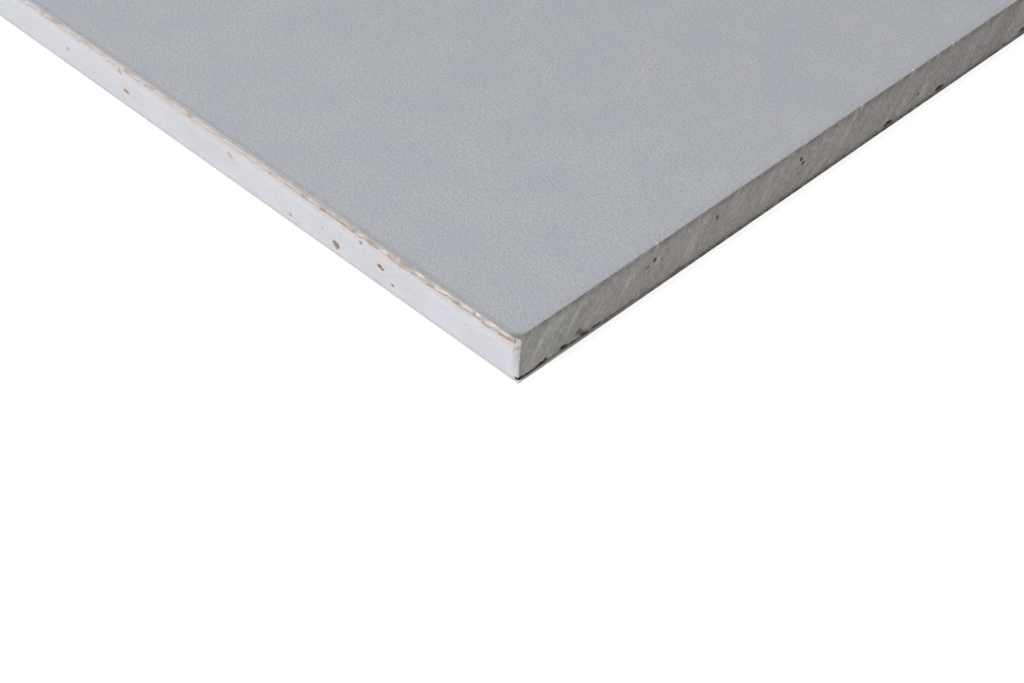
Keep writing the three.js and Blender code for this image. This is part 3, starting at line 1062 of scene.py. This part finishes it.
def foot_lifted(along):
    """How far the ragged foot of the plies stops short of FRINGE_FOOT."""
    lift = 0.62 + 0.5 * ragged(along, 2.6 * MM, 31) + 0.3 * ragged(along, 0.8 * MM, 32)
    lift += 0.25 * ramp(along, 44 * MM, 52 * MM) + 0.25 * ramp(along, 75 * MM, 90 * MM)
    return max(lift, 0.0) * MM


def kraft_line(along):
    """How far down the brown line of the innermost ply shows; it dips along each flap."""
    tear = flap_at(along)[0]
    down = 0.78 + 0.12 * (tear - 0.5) + 0.12 * ragged(along, 4.5 * MM, 37)
    return down + 0.06 * ragged(along, 1.1 * MM, 38)


def fringe_depth(co):
    """How far behind the plane of the cut the front of the plies lies."""
    along, down = along_end(co), hanging(co)
    lip = kraft_line(along) - 0.08
    lie = 0.20 - 0.13 * ramp(down, 0.0, lip)  # the cream plies stand off towards their lip
    lie += (0.06 + 0.08 * flap_at(along)[1]) * ramp(down, lip, lip + 0.08)
    lie += (0.07 * ragged_over(co, 1.8 * MM, 0.5 * MM, 33)
            + 0.05 * ragged_over(co, 0.6 * MM, 0.3 * MM, 34))
    lie += 0.4 * ramp(down, 0.93, 1.0) + 0.6 * ramp(along, RUN - FADE, RUN)
    lie += 0.75 * max(1.55 - along / MM, 0.0)  # they follow the worn arris
    return min(max(lie, 0.02), 0.55) * MM


def shown_at(co):
    """How far up the front of the plies a place comes to lie, once their feet are lifted."""
    return co.z + hanging(co) * foot_lifted(along_end(co))


def cream_shown(co):
    """Middle ply torn open: a long pale lens in each flap, slanting down away from the corner."""
    along = along_end(co)
    tear, cream, up = flap_at(along)
    off_up = shown_at(co) / MM - up + 0.5 * (tear - 0.5)
    shown = cream * math.sin(math.pi * tear) ** 0.4 * math.exp(-((off_up / 0.36) ** 2))
    shown += 0.3 * max(ragged_over(co, 2.4 * MM, 0.3 * MM, 39), 0.0)
    broken = 1.1 + 0.9 * ragged_over(co, 1.3 * MM, 0.35 * MM, 35)
    return min(max(shown * broken, 0.0), 1.0)


def kraft_shown(co):
    """Innermost ply: a thin brown line under each flap, and a bunch at each knot."""
    along, down = along_end(co), hanging(co)
    faint = 0.85 - 0.7 * ramp(along, 52 * MM, 80 * MM)
    line = faint * math.exp(-(((down - kraft_line(along)) / 0.09) ** 2))
    shown = line * max(0.8 + 1.2 * ragged_over(co, 2.6 * MM, 1 * MM, 36), 0.0)
    for at, up, long, tall, brown in KNOTS:
        off_along = (along / MM - at) / (0.5 * long)
        off_up = (shown_at(co) / MM - up) / (0.5 * tall)
        if abs(off_along) < 2:
            off_up += 0.5 * off_along  # a bunch slants down away from the corner
            streaky = 1 + 0.8 * ragged_over(co, 0.5 * MM, 1.2 * MM, 40)
            shown += brown * streaky * math.exp(-(off_along ** 4) - off_up ** 2)
    return min(max(shown, 0.0), 1.0)


def torn_plies():
    """The delaminated plies as one ragged fringe, rooted in the gypsum under the paper's edge."""
    deselect_all()
    cells_along, cells_up = FRINGE_CELLS
    bpy.ops.mesh.primitive_grid_add(x_subdivisions=cells_up, y_subdivisions=cells_along, size=1)
    fringe = bpy.context.object
    fringe.name = "torn_middle_plies"
    tall = FRINGE_TOP - FRINGE_FOOT
    middle = (CUT_END, SAWN_SIDE + RUN / 2 + FRINGE_START, FRINGE_FOOT + tall / 2)
    edit_all()
    rotate(math.pi / 2, "Y")
    bpy.ops.transform.resize(value=(1, RUN, tall))
    bpy.ops.transform.translate(value=middle)
    extrude(FRINGE_BACK, 0, 0)
    face_outwards()

    write(fringe, "cream", cream_shown)
    write(fringe, "kraft", kraft_shown)
    weigh(fringe, "front",
          lambda co: fringe_depth(co) / FRINGE_BACK if along_side(co) < TINY else 0.0)
    weigh(fringe, "feet", lambda co: hanging(co) * foot_lifted(along_end(co)) / FEET_RANGE)
    set_back(fringe, FRINGE_BACK, "front", "X")
    set_back(fringe, FEET_RANGE, "feet", "Z")
    return fringe


# -------------------- crumbs
def gypsum_crumbs():
    """Crumbs of gypsum that the saw left on the pressed-down edge of the face paper."""
    crumbs = []
    for seed, (along, long) in enumerate(CRUMBS):
        crumb = lumpy_egg((long * MM, CRUMB_DEEP, CRUMB_TALL), seed)
        edit_all()
        spot = (CUT_END + along * MM, SAWN_SIDE + CRUMB_IN, SHEET_TOP - CRUMB_DOWN)
        bpy.ops.transform.translate(value=spot)
        bpy.ops.object.mode_set(mode="OBJECT")
        crumbs.append(crumb)
    heap = joined(crumbs)
    heap.name = "gypsum_crumbs"
    return heap


# -------------------- light
KEY_FROM = Vector((-1.0, 0.18, 1.0))  # where both lights come from, as seen from the sheet
KEY_STRENGTH = 2.08
KEY_ANGLE = math.radians(10)
LAMP_DISTANCE = 0.52
LAMP_RADIUS = 0.06
LAMP_SHARE = 0.8  # irradiance that it adds at the near corner, beside the key's
SKY_STRENGTH = 0.35
SKY_COLOUR = "#fffcf2"
FLOOR_BOUNCE = 0.35  # how much light it throws back on the sheet
FLOOR_SEEN = 0.3  # how much of the light on it the camera sees
FLOOR_LIFT = 0.85  # a glow for the camera alone, which brings it to white
FLOOR_SIZE = 60.0
FLOOR_GAP = 0.05 * MM


def seen_directly(tree):
    """1 for a ray from the camera, a mirror or a pane, 0 for one that carries light."""
    path = add(tree, "LightPath")
    most = path.outputs["Is Camera Ray"]
    for ray in ("Is Glossy Ray", "Is Transmission Ray"):
        most = add(tree, "Math", {0: most, 1: path.outputs[ray]}, operation="MAXIMUM")
    return most


def set_light():
    sun = adjusted(bpy.data.lights.new("key", "SUN"), energy=KEY_STRENGTH, angle=KEY_ANGLE)
    key = linked("key", sun)
    key.rotation_mode = "QUATERNION"
    key.rotation_quaternion = KEY_FROM.to_track_quat("Z", "Y")

    lamp = adjusted(bpy.data.lights.new("near_lamp", "POINT"), shadow_soft_size=LAMP_RADIUS,
                    energy=LAMP_SHARE * 4 * math.pi * LAMP_DISTANCE ** 2)
    near = linked("near_lamp", lamp)
    near.location = Vector((CUT_END, SAWN_SIDE, SHEET_TOP)) + LAMP_DISTANCE * KEY_FROM.normalized()

    world = bpy.data.worlds.new("studio")
    world.use_nodes = True
    tree = world.node_tree
    tree.nodes.clear()
    sky = add(tree, "Background", {"Color": SKY_COLOUR, "Strength": SKY_STRENGTH})
    backdrop = add(tree, "Background", {"Color": "#ffffff", "Strength": 1.0})
    mix = add(tree, "MixShader", {0: seen_directly(tree), 1: sky, 2: backdrop})
    add(tree, "OutputWorld", {"Surface": mix})
    bpy.context.scene.world = world


def lay_floor():
    """A white floor that keeps the sheet's shadow and throws back only a little light."""
    deselect_all()
    bpy.ops.mesh.primitive_plane_add(size=FLOOR_SIZE)
    floor = bpy.context.object
    floor.name = "studio_floor"
    floor.location.z = -FLOOR_GAP
    material, tree = new_material("white_studio_floor")
    seen = seen_directly(tree)
    albedo = add(tree, "MapRange", {"Value": seen, "To Min": FLOOR_BOUNCE, "To Max": FLOOR_SEEN})
    matt = add(tree, "BsdfDiffuse", {"Color": albedo})
    glow = add(tree, "Emission", {"Strength": share(tree, seen, FLOOR_LIFT)})
    both = add(tree, "AddShader", {0: matt, 1: glow})
    # Clear from below, and to light on its way to the underside that rests on the floor
    below = add(tree, "NewGeometry").outputs["Backfacing"]
    length = add(tree, "LightPath").outputs["Ray Length"]
    resting = add(tree, "Math", {0: length, 1: 4 * FLOOR_GAP}, operation="LESS_THAN")
    clear = add(tree, "Math", {0: below, 1: resting}, operation="MAXIMUM")
    one_sided = add(tree, "MixShader", {0: clear, 1: both, 2: add(tree, "BsdfTransparent")})
    add(tree, "OutputMaterial", {"Surface": one_sided})
    dress(floor, material)


set_camera()
set_light()
lay_floor()
put_in_frame(cast_gypsum_core(), "gypsum_core", cast_gypsum())
put_in_frame(gypsum_crumbs(), None, loose_gypsum())
put_in_frame(wrapped_face_paper(), "face_paper", liner_paper())
put_in_frame(torn_plies(), None, torn_ply_fibre())
dress(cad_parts["back_paper"], backing_paper())
bpy.context.scene.view_settings.view_transform = "Standard"
